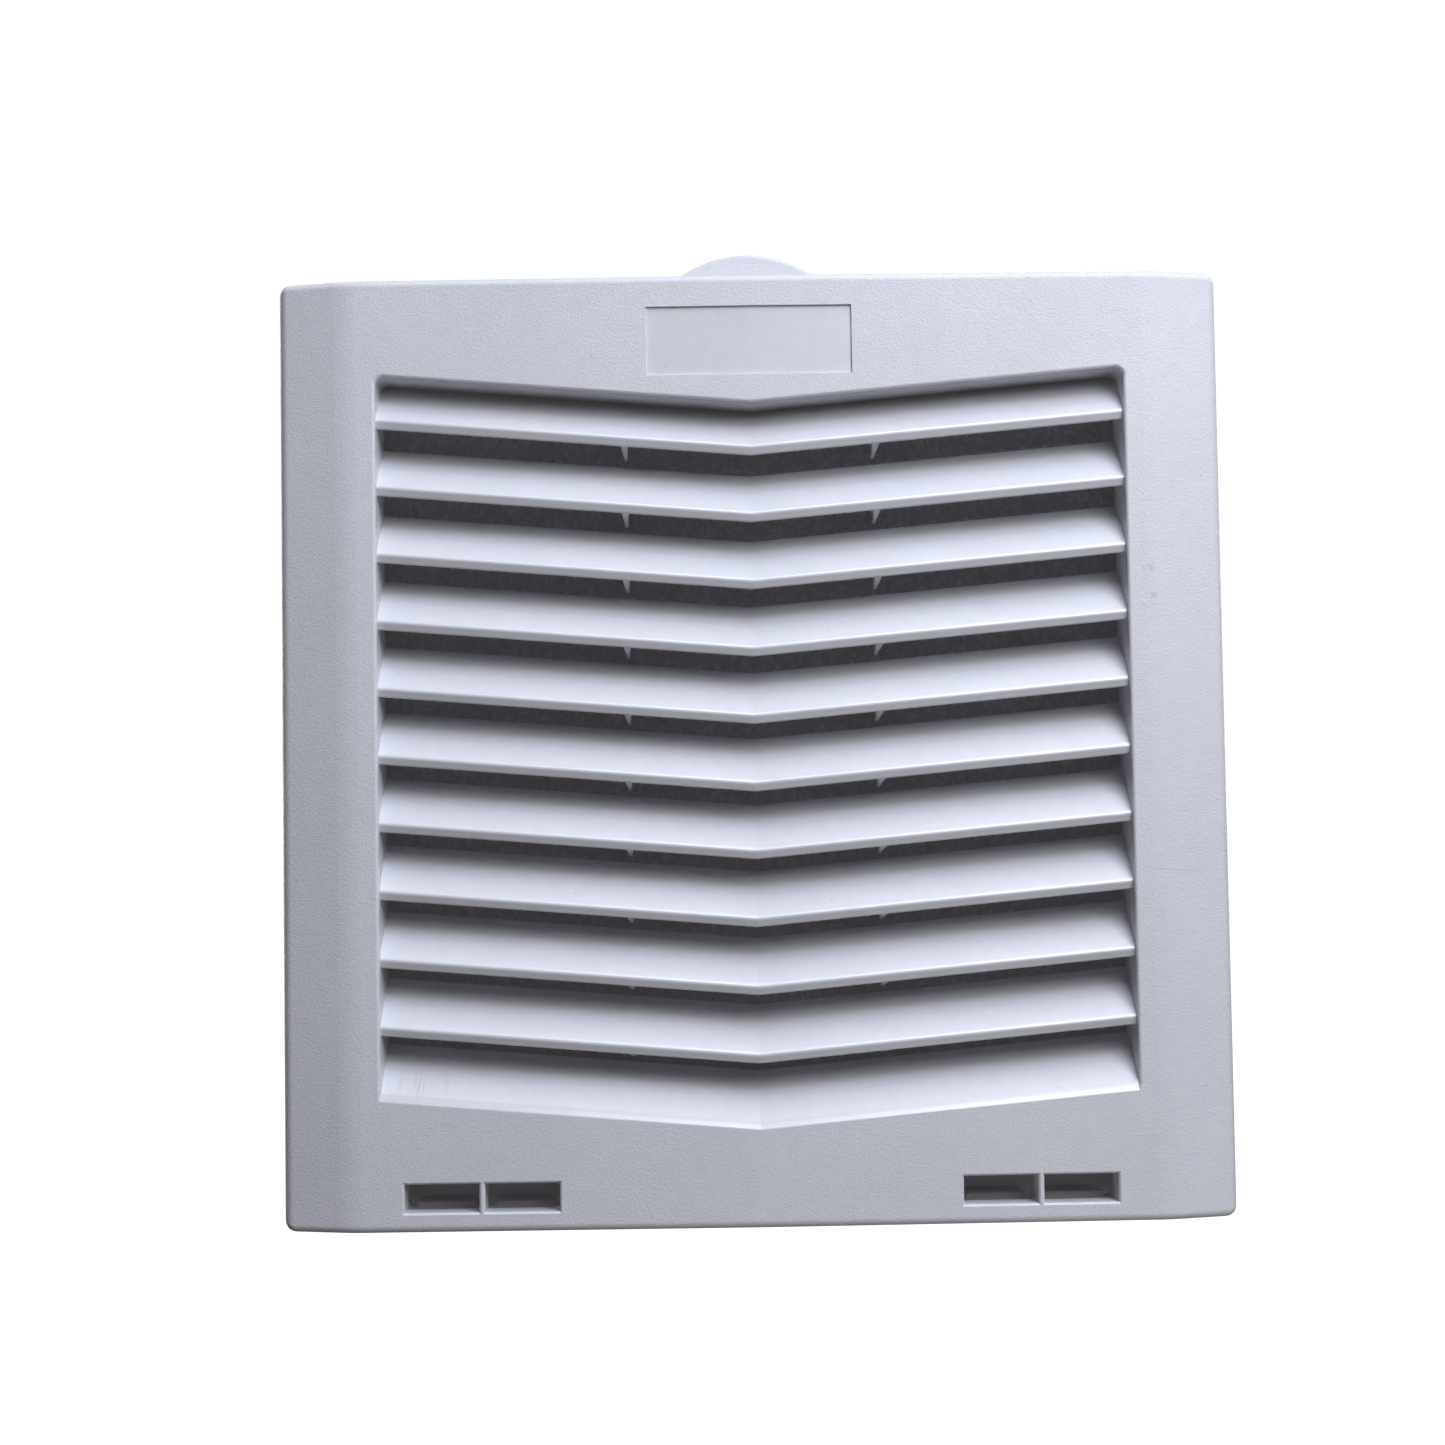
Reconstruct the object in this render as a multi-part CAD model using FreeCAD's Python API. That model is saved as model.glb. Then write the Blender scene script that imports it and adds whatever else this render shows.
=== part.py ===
"""Louvred filter vent cover for a 2 mm sheet-metal wall, as separate parts.

Row frame, millimetres: X to the right, Y into the enclosure, Z up.  The origin is
the centre of the wall plane y = 0, which the rear face of the flange gasket touches.
A drop-down louvred cover hangs on two hinge pins at the bottom of a mounting frame.
The frame carries a filter mat on a rear grid, a press-down release tab at the top,
and one spring pawl on each side that grips the wall from behind.
"""

import FreeCAD, Part
import math
import os

Vector = FreeCAD.Vector

# ---- driving dimensions -------------------------------------------------------
FACE_SIZE = 255.0            # outer width and height of the cover
COVER_DEPTH = 29.5           # front ridge of the cover to the wall plane
PITCH = 18.12                # louvre spacing
BLADE_COUNT = 10
V_ANGLE = 4.95               # each half louvre rises this many degrees outwards
CUTOUT_HALF = 111.75         # half of the square hole in the wall

# ---- working allowances -------------------------------------------------------
JOIN = 0.2                   # how far fused pieces run into each other
OVERSHOOT = 1.0              # how far a cutting tool runs past the surface that it opens
EPS = 1e-3

# ---- cover shell --------------------------------------------------------------
HALF = FACE_SIZE / 2
WALL = 2.2                   # skirt thickness
FRONT_WALL = 2.4             # front panel thickness
CREASE_X = 109.0             # where the side facets begin
CREASE_FALL = 1.5            # ridge to crease, along Y
FACET_FALL = 4.5             # crease to outer edge, along Y
CREASE_RADIUS = 26.0
CORNER_RADIUS = 3.3
FRONT_RADIUS = 2.0
SKIRT_REAR = -1.0            # the side skirts stop this short of the wall plane
BOTTOM_SKIRT_REAR = -8.3     # the bottom skirt is shorter, to swing up past the flange
SKIRT_RELIEF_Z = -120.5      # the side skirts are cut away diagonally below this

# ---- louvre window ------------------------------------------------------------
WINDOW_HALF = 100.9
WINDOW_TOP = 92.6            # height of the window's top edge at the centre line
WINDOW_BOTTOM = -101.6
WINDOW_CORNER = 2.3
WINDOW_EDGE_RADIUS = 0.9
SILL_MARGIN = 1.0            # the well reaches this far below the sill's front edge
SILL_FACET = (1.2, 2.1)      # depth and height of the steeper strip at the sill's front edge
SILL_BEND = (8.4, 9.0)       # where the sill flattens, behind and above its front edge
SILL_END = (17.6, 14.2)      # upper corner of its rear edge
SILL_THICKNESS = 2.0
WELL_WALL = 2.0              # walls of the well round the louvres
WELL_REAR = -11.2
V_RISE = math.tan(math.radians(V_ANGLE))
V_BACK = CREASE_FALL / CREASE_X

# ---- louvres ------------------------------------------------------------------
TOP_LIP_Z = 78.71            # underside of the top louvre's lip at the centre line
LIP_SET_BACK = 1.5           # lip behind the face
LIP_HEIGHT = 2.3
LIP_LEAN = 0.9               # the lower edge of the lip stands back by this much
LIP_ROUND = 1.1              # radius of the lip's upper edge
LIP_LAND = 0.8               # depth of the flat underside of the lip
BLADE_DEPTH = 15.7
BLADE_RISE = 14.9            # rear edge above the underside of the lip
BLADE_BEND = (6.8, 9.2)      # where the blade flattens, behind and above the lip's lower corner
BLADE_THICKNESS = 2.1
BEND_RADIUS = 55.0
EDGE_RADIUS = 0.5            # rear edges of blades and sill
RIB_X = 34.0
RIB_FRONT_WIDTH = 2.1
RIB_REAR_WIDTH = 1.0
RIB_TAPER_DEPTH = 10.7       # the rib thins to its rear width over this depth
RIB_DROP = (1.3, 2.0)        # how far it hangs below the lip at the end of the taper and at its rear

# ---- blank recessed plate -----------------------------------------------------
PLATE_HALF = 27.7
PLATE_LOW, PLATE_HIGH = 100.4, 118.9
PLATE_DEPTH = 0.6

# ---- stiffening webs between the louvre well and the skirt --------------------
STIFFENER_HALF = 0.8
STIFFENER_Y = (-25.6, -16.0)
STIFFENER_SIDE_Y = (-21.6, -16.0)
STIFFENER_SPREAD = 60.0      # outermost webs to the middle

# ---- hinge --------------------------------------------------------------------
HINGE_Y, HINGE_Z = -14.0, -123.0
HINGE_PIN_RADIUS = 0.8
HINGE_RUNNING_GAP = 0.06
SLOT_PAIR_X = 74.2
SLOT_WIDTH, SLOT_HEIGHT = 19.9, 7.6
SLOT_WEB = 1.5
SLOT_Z = -118.5
SLOT_TUBE_REAR = -21.3
SLOT_SIDE_REAR = -17.5       # the side walls of the slots reach further in
SLOT_TUBE_WALL = 1.4
SLOT_CHAMFER = 0.45
TONGUE_WIDTH = 16.0
TONGUE_HALF = 1.7            # half height and half depth of the knuckle round the pin
TONGUE_WEB = 1.5             # thickness of the web from the knuckle back to the flange
SHIELD_Y = (-9.6, -8.0)      # front and rear of the shield behind each slot
SHIELD_BOTTOM = -120.6
SHIELD_GAP = 0.4             # sideways gap between a shield and the notch it stands in
TONGUE_CHAMFER = 1.1         # the knuckle is bevelled by this much in Y at the lower front
CHEEK_RADIUS = 2.2

# ---- mounting frame -----------------------------------------------------------
FLANGE_HALF = 124.3
FLANGE_FRONT, FLANGE_REAR = -5.5, -3.0
FLANGE_CORNER = 3.0
COLLAR_HALF = CUTOUT_HALF - 1.0
COLLAR_WALL = 2.5
COLLAR_REAR = 25.0
COLLAR_CORNER = 5.0
RIM_HALF = 110.25
RIM_FRONT = -12.0
LEDGE_HALF = 96.0
LEDGE_FRONT, LEDGE_REAR = -0.5, 2.0
SCREW_HOLE_HALF = 116.5      # wall screw holes at plus and minus this in X and Z
SCREW_HOLE_RADIUS = 2.15

# ---- release tab --------------------------------------------------------------
TAB_RADIUS = 32.0
TAB_CENTRE_Z = 106.0
TAB_FRONT, TAB_REAR = -8.3, -5.7
TAB_HALF = 22.0
TAB_BOTTOM = 113.5
TAB_NECK_Z = 124.0           # the round crown begins here
TAB_RIM_RADIUS = 0.8
TAB_FOOT_HALF = 23.8
TAB_FOOT_TOP = 115.8
TAB_SHOULDER_Z = 119.5
RAIL_LOW, RAIL_HIGH = 116.0, 121.0
RAIL_GAP = 0.3
RAIL_WIDTH = 2.4
RAIL_GRIP = 1.8              # how far the rail's lip reaches over the tab
RAIL_LIP = 1.0
TAB_SPRING_X = 15.0
TAB_SPRING_SEAT = 111.5
TAB_SEAT_HALF = 2.2
TAB_SEAT_FRONT = -9.0
TAB_SPRING_POCKET = 3.6      # half width of the pocket under each shoulder of the tab
TAB_SPRING_RADIUS = 1.15     # coil centre line
TAB_SPRING_WIRE = 0.3
TAB_SPRING_TURNS = 6
TAB_SPRING_END_GAP = 0.02
TAB_NOTCH_HALF = 27.0        # half width of the notch in the cover's top skirt
TAB_NOTCH_GAP = 0.7          # between the notch's front and the tab
CATCH_HALF = 8.0
CATCH_ARM_FRONT = -13.4
CATCH_ARM_Z = (119.0, 121.0)
CATCH_NOSE_Z = (120.0, 121.6, 122.4)   # root, start and top of the nose's ramp
CATCH_NOSE_Y = (-12.6, -11.7)          # flat top of the nose
CATCH_RIB_Y = (-11.3, -9.8)
CATCH_RIB_BOTTOM = 122.8

# ---- spring pawls, described for the top side ---------------------------------
PAWL_Y, PAWL_Z = 19.5, 107.6      # its pin
PAWL_HALF = 12.0
PAWL_BARREL = 2.3
PAWL_PIN_RADIUS = 1.0
PAWL_RUNNING_GAP = 0.05
PAWL_CREST = (4.8, 114.4)         # outermost point of the ramp
PAWL_RAMP_FOOT = (13.0, 110.4)
PAWL_FRONT = (3.0, 113.2, 107.2)  # Y of its front face, top and bottom of that face
PAWL_HEEL = (17.0, 105.6)
PAWL_POCKET_HALF = 8.0
PAWL_POCKET_Y = (5.5, 13.5)
PAWL_POCKET_FLOOR = 109.4
WINDOW_SIDE_GAP = 0.7
PAWL_WINDOW_Y = (1.5, 22.5)
EAR_OUTER_X = 17.5
EAR_MARGIN = 2.7                  # ear round the pin
EAR_ROOT = 0.5
LEAF_HALF = 5.0
LEAF_THICKNESS = 0.4
LEAF_GAP = 0.05                   # between the leaf and the collar that it clips over
LEAF_CLIP_Y = 20.0
LEAF_KNEE = (17.0, 105.1)
LEAF_TIP = (7.5, 106.55)
SIDES = {"top": 0, "right": 90, "bottom": 180, "left": 270}

# ---- filter mat, gasket and rear grid -----------------------------------------
MAT_HALF = 107.5
MAT_FRONT, MAT_REAR = -10.5, -0.6
GASKET_HALF = 122.0
GASKET_HOLE_HALF = 111.3
GRID_HALF = 102.5
GRID_FRONT, GRID_REAR = 2.0, 5.0
GRID_BORDER = 7.0
GRID_BARS = 11
GRID_BAR_WIDTH = 1.8
GRID_CROSSBAR_STEP = 0.6     # the level bars are thinner than the upright ones by this much
GRID_CORNER = 2.0
GRID_SCREW_HALF = 99.2
GRID_SCREW_RADIUS = 1.2
GRID_SCREW_HEAD_RADIUS = 2.6
GRID_SCREW_HEAD_HEIGHT = 1.8
GRID_SCREW_HEAD_ROUND = 0.7
GRID_SCREW_TIP = -0.2
GRID_SCREW_CROSS = (1.3, 0.25, 0.9)   # half length, half width and depth of the cross recess


# ---- drawing helpers ----------------------------------------------------------
def box(x, y, z):
    """Block between two limits on each axis."""
    size = [high - low for low, high in (x, y, z)]
    return Part.makeBox(*size, Vector(x[0], y[0], z[0]))


def rod(start, direction, radius, length):
    """Round bar."""
    return Part.makeCylinder(radius, length, Vector(*start), Vector(*direction))


def fuse(shapes):
    """One solid out of several that touch."""
    return shapes[0].multiFuse(shapes[1:]).removeSplitter()


def both_sides(shape):
    """The shape and its mirror image in X, fused."""
    return fuse([shape, shape.mirror(Vector(), Vector(1, 0, 0))])


def both_sides_apart(shape):
    """The shape and its mirror image in X, as a compound of two."""
    return Part.makeCompound([shape, shape.mirror(Vector(), Vector(1, 0, 0))])


def rounded_face(corners, place):
    """Flat face of a polygon with corners (u, v, radius), drawn through place(u, v)."""
    points = [Vector(u, v, 0) for u, v, _ in corners]
    edges = []
    ends = []
    for i, (_, _, radius) in enumerate(corners):
        here = points[i]
        before = (points[i - 1] - here).normalize()
        after = (points[(i + 1) % len(points)] - here).normalize()
        if radius == 0:
            ends.append((here, None, here))
            continue
        half_angle = before.getAngle(after) / 2
        middle = (before + after).normalize()
        reach = radius / math.tan(half_angle)
        crown = here + middle * (radius / math.sin(half_angle) - radius)
        ends.append((here + before * reach, crown, here + after * reach))
    for i, (first, crown, last) in enumerate(ends):
        if crown is not None:
            arc = [place(p.x, p.y) for p in (first, crown, last)]
            edges.append(Part.Arc(*arc).toShape())
        following = ends[(i + 1) % len(ends)][0]
        edges.append(Part.makeLine(place(last.x, last.y), place(following.x, following.y)))
    return Part.Face(Part.Wire(edges))


def side_profile(corners, x=0.0):
    """Face in a YZ plane."""
    return rounded_face(corners, lambda y, z: Vector(x, y, z))


def side_prism(corners, x_low, x_high):
    """Solid with a YZ outline between two X positions."""
    return side_profile(corners, x_low).extrude(Vector(x_high - x_low, 0, 0))


def front_prism(corners, y_low, y_high):
    """Solid with an XZ outline between two Y positions."""
    face = rounded_face(corners, lambda x, z: Vector(x, y_low, z))
    return face.extrude(Vector(0, y_high - y_low, 0))


def square_ring(outer, inner, y_low, y_high, corner=0.0):
    """Square frame round the Y axis, from half sizes."""
    def square(half, radius):
        return [(-half, -half, radius), (half, -half, radius), (half, half, radius), (-half, half, radius)]

    solid = front_prism(square(outer, corner), y_low, y_high)
    hole = front_prism(square(inner, max(corner - (outer - inner), 0)), y_low - 1, y_high + 1)
    return solid.cut(hole)


def sharp(points):
    """Corner list without rounding."""
    return [(u, v, 0) for u, v in points]


def corner_bores(half, radius, y_low, y_high):
    """Four round bars along Y, at plus and minus half in X and Z."""
    return [rod((x, y_low, z), (0, 1, 0), radius, y_high - y_low) for x in (-half, half) for z in (-half, half)]


def vee(corners):
    """A YZ outline at the centre line, carried outwards and up on both sides."""
    reach = Vector(WINDOW_HALF + WELL_WALL / 2, 0, 0)
    reach.y = reach.x * V_BACK
    reach.z = reach.x * V_RISE
    return both_sides(side_profile(corners).extrude(reach))


def face_y(x):
    """Y of the cover's front face at x, between the creases."""
    return -COVER_DEPTH + abs(x) * V_BACK


# ---- louvred cover ------------------------------------------------------------
def cover_section(inset, front_inset, rear):
    """XY outline of the cover moved inwards, as an upright face at z = -HALF + inset."""
    side = HALF - inset
    corners = [
        (-side, rear, 0),
        (-side, front_inset - COVER_DEPTH + CREASE_FALL + FACET_FALL, 0),
        (-CREASE_X, front_inset - COVER_DEPTH + CREASE_FALL, CREASE_RADIUS),
        (0, front_inset - COVER_DEPTH, 0),
        (CREASE_X, front_inset - COVER_DEPTH + CREASE_FALL, CREASE_RADIUS),
        (side, front_inset - COVER_DEPTH + CREASE_FALL + FACET_FALL, 0),
        (side, rear, 0),
    ]
    face = rounded_face(corners, lambda x, y: Vector(x, y, inset - HALF))
    return face.extrude(Vector(0, 0, 2 * side))


def cover_shell():
    """Hollow rounded cover, open at the rear."""
    outer = cover_section(0, 0, SKIRT_REAR)
    upright = [
        e for e in outer.Edges
        if all(abs(v.X) > HALF - EPS and abs(v.Z) > HALF - EPS for v in e.Vertexes)
    ]
    outer = outer.makeFillet(CORNER_RADIUS, upright)
    front_rim = [
        e for e in outer.Edges
        if e.CenterOfMass.y < -COVER_DEPTH / 2
        and max(abs(e.CenterOfMass.x), abs(e.CenterOfMass.z)) > HALF - CORNER_RADIUS
    ]
    outer = outer.makeFillet(FRONT_RADIUS, front_rim)
    shell = outer.cut(cover_section(WALL, FRONT_WALL, OVERSHOOT))
    inner = HALF - WALL
    past = HALF + OVERSHOOT
    shell = shell.cut(box((-inner, inner), (BOTTOM_SKIRT_REAR, OVERSHOOT), (-past, -inner)))
    relief = sharp([(SKIRT_REAR + OVERSHOOT, SKIRT_RELIEF_Z), (SKIRT_REAR + OVERSHOOT, -past),
                    (BOTTOM_SKIRT_REAR, -past), (BOTTOM_SKIRT_REAR, -HALF), (SKIRT_REAR, SKIRT_RELIEF_Z)])
    return shell.cut(side_prism(relief, -past, past))


def window_outline(grow):
    """XZ corners of the V-shaped louvre window, grown outwards and a little more downwards."""
    half = WINDOW_HALF + grow
    side_rise = WINDOW_HALF * V_RISE
    top, bottom = WINDOW_TOP + grow, WINDOW_BOTTOM - grow - SILL_MARGIN
    low_corner = WINDOW_CORNER + SILL_MARGIN
    return [
        (-half, top + side_rise, WINDOW_CORNER), (0, top, 0), (half, top + side_rise, WINDOW_CORNER),
        (half, bottom + side_rise, low_corner), (0, bottom, 0), (-half, bottom + side_rise, low_corner),
    ]


def sill():
    """Band whose upper side is the sloping sill of the window; its front lies in the cover's face."""
    y, z = -COVER_DEPTH, WINDOW_BOTTOM
    facet_y, facet_z = SILL_FACET
    bend_y, bend_z = SILL_BEND
    end_y, end_z = SILL_END
    t = SILL_THICKNESS
    return vee([
        (y, z - t * math.sqrt(2), 0), (y, z, WINDOW_EDGE_RADIUS), (y + facet_y, z + facet_z, EDGE_RADIUS),
        (y + bend_y, z + bend_z, BEND_RADIUS), (y + end_y, z + end_z, EDGE_RADIUS),
        (y + end_y, z + end_z - t, EDGE_RADIUS), (y + bend_y + t / 2, z + bend_z - t, BEND_RADIUS - t),
    ])


def louvre(lip_z):
    """One V-shaped louvre with a blunt front lip that leans back at the bottom."""
    y = LIP_SET_BACK - COVER_DEPTH
    bend_y, bend_z = BLADE_BEND
    t = BLADE_THICKNESS
    top = lip_z + BLADE_RISE
    return vee([
        (y + LIP_LEAN, lip_z, LIP_ROUND / 2), (y, lip_z + LIP_HEIGHT, LIP_ROUND),
        (y + bend_y, lip_z + bend_z, BEND_RADIUS), (y + BLADE_DEPTH, top, EDGE_RADIUS),
        (y + BLADE_DEPTH, top - t, EDGE_RADIUS),
        (y + bend_y + t / 2, lip_z + bend_z - 0.8 * t, BEND_RADIUS - t),
        (y + LIP_LEAN + LIP_LAND, lip_z, EDGE_RADIUS / 2),
    ])


def louvre_rib(lip_z, x):
    """Tapered web that ties a louvre to the one below it."""
    y = face_y(x) + LIP_SET_BACK
    z = lip_z + abs(x) * V_RISE
    root = y + LIP_LEAN + JOIN
    rear = y + BLADE_DEPTH - JOIN
    bend_y, bend_z = BLADE_BEND
    outline = sharp([(root, z + JOIN), (y + RIB_TAPER_DEPTH, z - RIB_DROP[0]), (rear, z - RIB_DROP[1]),
                     (rear, z + BLADE_RISE - BLADE_THICKNESS / 2), (y + bend_y + 1, z + bend_z - 1),
                     (root, z + 1)])
    half_plan = [(RIB_FRONT_WIDTH / 2, y), (RIB_REAR_WIDTH / 2, y + RIB_TAPER_DEPTH),
                 (RIB_REAR_WIDTH / 2, y + BLADE_DEPTH)]
    plan = [Vector(x + half, depth, z - BLADE_RISE) for half, depth in half_plan]
    plan += [Vector(x - half, depth, z - BLADE_RISE) for half, depth in reversed(half_plan)]
    taper = Part.Face(Part.makePolygon(plan + plan[:1])).extrude(Vector(0, 0, 2 * BLADE_RISE))
    return side_prism(outline, x - RIB_FRONT_WIDTH, x + RIB_FRONT_WIDTH).common(taper)


def slot_spans():
    """X limits of the two slots on the right-hand side."""
    inner = SLOT_PAIR_X - SLOT_WEB / 2 - SLOT_WIDTH
    outer = SLOT_PAIR_X + SLOT_WEB / 2
    return [(inner, inner + SLOT_WIDTH), (outer, outer + SLOT_WIDTH)]


def tongue_spans():
    """X limits of the two hinge tongues on the right-hand side."""
    margin = (SLOT_WIDTH - TONGUE_WIDTH) / 2
    return [(low + margin, high - margin) for low, high in slot_spans()]


def cheek_spans():
    """X limits of the three slot side walls that go on inwards as cheeks for a hinge pin."""
    (a, b), (c, d) = slot_spans()
    return [(a - SLOT_TUBE_WALL, a), (b, c), (d, d + SLOT_TUBE_WALL)]


def slot_tubes():
    """Short tube walls behind the right-hand pair of slots, still without their openings."""
    (low, _), (_, high) = slot_spans()
    half = SLOT_HEIGHT / 2 + SLOT_TUBE_WALL
    return box((low - SLOT_TUBE_WALL, high + SLOT_TUBE_WALL), (face_y(low) + FRONT_WALL / 2, SLOT_TUBE_REAR),
               (SLOT_Z - half, SLOT_Z + half))


def cheeks():
    """Right-hand cheeks, standing on the bottom skirt, with the bore for the hinge pin."""
    floor = WALL - HALF - JOIN
    front = SLOT_TUBE_REAR - JOIN
    half = SLOT_HEIGHT / 2 + SLOT_TUBE_WALL
    parts = []
    for low, high in cheek_spans():
        parts.append(box((low, high), (front, SLOT_SIDE_REAR), (SLOT_Z - half, SLOT_Z + half)))
        parts.append(box((low, high), (front, HINGE_Y), (floor, HINGE_Z + CHEEK_RADIUS)))
        parts.append(box((low, high), (HINGE_Y - JOIN, HINGE_Y + CHEEK_RADIUS), (floor, HINGE_Z)))
        parts.append(rod((low, HINGE_Y, HINGE_Z), (1, 0, 0), CHEEK_RADIUS, high - low))
    return parts


def skirt_notches():
    """Right-hand notches in the bottom skirt, below the hinge tongues."""
    front = HINGE_Y - CHEEK_RADIUS
    return [box(span, (front, OVERSHOOT), (-HALF - OVERSHOOT, WALL - HALF)) for span in slot_spans()]


def stiffeners():
    """Thin webs between the louvre well and the skirt."""
    half = STIFFENER_HALF
    skirt = HALF - WALL + JOIN
    webs = []
    for x in (-STIFFENER_SPREAD, -RIB_X, RIB_X, STIFFENER_SPREAD):
        top = WINDOW_TOP + abs(x) * V_RISE + WELL_WALL / 2
        webs.append(box((x - half, x + half), STIFFENER_Y, (top, skirt)))
    for x in (-RIB_X, 0.0, RIB_X):
        bottom = WINDOW_BOTTOM + abs(x) * V_RISE - WELL_WALL / 2
        webs.append(box((x - half, x + half), STIFFENER_Y, (-skirt, bottom)))
    for side in (-1, 1):
        for z in (-STIFFENER_SPREAD, 0.0, STIFFENER_SPREAD):
            limits = sorted((side * (WINDOW_HALF + WELL_WALL / 2), side * skirt))
            webs.append(box(limits, STIFFENER_SIDE_Y, (z - half, z + half)))
    return webs


def louvre_cover():
    """The whole cover moulding."""
    before_face = -COVER_DEPTH - OVERSHOOT
    well = front_prism(window_outline(WELL_WALL), face_y(WINDOW_HALF) + FRONT_WALL / 3, WELL_REAR)
    shell = fuse([cover_shell(), well, both_sides(slot_tubes())] + stiffeners())
    shell = shell.cut(front_prism(window_outline(0), before_face, OVERSHOOT))
    window_edges = [
        e for e in shell.Edges
        if e.BoundBox.YMax < face_y(WINDOW_HALF) + EPS and on_window(e)
    ]
    shell = fuse([shell.makeFillet(WINDOW_EDGE_RADIUS, window_edges), sill()])

    slots = []
    for low, high in slot_spans():
        for x in ((low, high), (-high, -low)):
            slots.append(box(x, (before_face, SLOT_TUBE_REAR + OVERSHOOT),
                             (SLOT_Z - SLOT_HEIGHT / 2, SLOT_Z + SLOT_HEIGHT / 2)))
    shell = shell.cut(Part.makeCompound(slots))
    slot_edges = [
        e for e in shell.Edges
        if e.BoundBox.YMax < face_y(HALF)
        and abs(e.CenterOfMass.z - SLOT_Z) < SLOT_HEIGHT / 2 + EPS and abs(e.CenterOfMass.x) < WINDOW_HALF
    ]
    shell = shell.makeChamfer(SLOT_CHAMFER, slot_edges)

    floor = PLATE_DEPTH - COVER_DEPTH
    plate = side_profile(sharp([(before_face, PLATE_LOW), (floor, PLATE_LOW),
                                (floor, PLATE_HIGH), (before_face, PLATE_HIGH)]))
    shell = shell.cut(both_sides(plate.extrude(Vector(PLATE_HALF, PLATE_HALF * V_BACK, 0))))
    notch = box((-TAB_NOTCH_HALF, TAB_NOTCH_HALF), (TAB_FRONT - TAB_NOTCH_GAP, OVERSHOOT),
                (HALF - 2 * WALL, HALF + OVERSHOOT))
    shell = shell.cut(notch)

    lips = [TOP_LIP_Z - PITCH * i for i in range(BLADE_COUNT)]
    catch_rib = box((-CATCH_HALF - 1, CATCH_HALF + 1), CATCH_RIB_Y, (CATCH_RIB_BOTTOM, HALF - WALL + JOIN))
    inside = [catch_rib] + [louvre(z) for z in lips]
    inside += [louvre_rib(z, x) for z in lips for x in (-RIB_X, RIB_X)]
    cover = fuse([shell] + inside + [both_sides_apart(c) for c in cheeks()])
    (low, _), _, (_, high) = cheek_spans()
    bore = rod((low - OVERSHOOT, HINGE_Y, HINGE_Z), (1, 0, 0), HINGE_PIN_RADIUS, high - low + 2 * OVERSHOOT)
    return cover.cut([both_sides_apart(c) for c in [bore] + skirt_notches()])


def on_window(edge):
    """True for an edge on the front outline of the louvre window."""
    centre = edge.CenterOfMass
    rise = abs(centre.x) * V_RISE
    near = SILL_MARGIN + 0.5
    inside_x = abs(centre.x) < WINDOW_HALF + EPS
    inside_z = WINDOW_BOTTOM + rise - near < centre.z < WINDOW_TOP + rise + near
    return inside_x and inside_z and abs(centre.x) > EPS


# ---- hinge pins ---------------------------------------------------------------
def hinge_pin(side):
    """Steel pin through three cheeks and two tongues; side is -1 or 1."""
    (low, _), _, (_, high) = cheek_spans()
    start = low if side > 0 else -high
    return rod((start, HINGE_Y, HINGE_Z), (1, 0, 0), HINGE_PIN_RADIUS, high - low)


# ---- mounting frame -----------------------------------------------------------
def turned(shape, degrees):
    """The shape turned round the Y axis, from the top side to another side."""
    copy = shape.copy()
    copy.rotate(Vector(), Vector(0, 1, 0), degrees)
    return copy


def tongues():
    """Right-hand hinge tongues: a knuckle round the pin on a low web that stands forward from the flange."""
    t = TONGUE_HALF
    top, bottom = HINGE_Z + t, HINGE_Z - t
    front = HINGE_Y - t
    root = FLANGE_FRONT + JOIN
    outline = [(front + TONGUE_CHAMFER, bottom, 0.3), (front, HINGE_Z, 0.3), (front, top, 0.5),
               (HINGE_Y + t, top, 0.5), (HINGE_Y + t, bottom + TONGUE_WEB, 0.3),
               (root, bottom + TONGUE_WEB, 0), (root, bottom, 0)]
    return [side_prism(outline, low, high) for low, high in tongue_spans()]


def slot_shields():
    """Right-hand shields that hang from the mat rim behind the slots and end above the tongues."""
    height = (SHIELD_BOTTOM, JOIN - RIM_HALF)
    return [box((low + SHIELD_GAP, high - SHIELD_GAP), SHIELD_Y, height) for low, high in slot_spans()]


def tab_guides():
    """Right-hand rail and spring seat for the release tab."""
    inner = TAB_HALF + RAIL_GAP
    outer = inner + RAIL_WIDTH
    front = TAB_FRONT - RAIL_GAP
    height = (RAIL_LOW, RAIL_HIGH)
    return [
        box((inner, outer), (front - RAIL_LIP, FLANGE_FRONT + JOIN), height),
        box((TAB_HALF - RAIL_GRIP, outer), (front - RAIL_LIP, front), height),
        box((TAB_SPRING_X - TAB_SEAT_HALF, TAB_SPRING_X + TAB_SEAT_HALF), (TAB_SEAT_FRONT, FLANGE_FRONT + JOIN),
            (RIM_HALF - JOIN, TAB_SPRING_SEAT)),
    ]


def pawl_ears():
    """Thickened collar on both sides of the top pawl window."""
    inner_x = PAWL_HALF + WINDOW_SIDE_GAP
    ear = box((inner_x, EAR_OUTER_X), (PAWL_Y - EAR_MARGIN, PAWL_WINDOW_Y[1] + EAR_ROOT),
              (PAWL_Z - EAR_MARGIN, COLLAR_HALF - EAR_ROOT))
    return both_sides_apart(ear)


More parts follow.
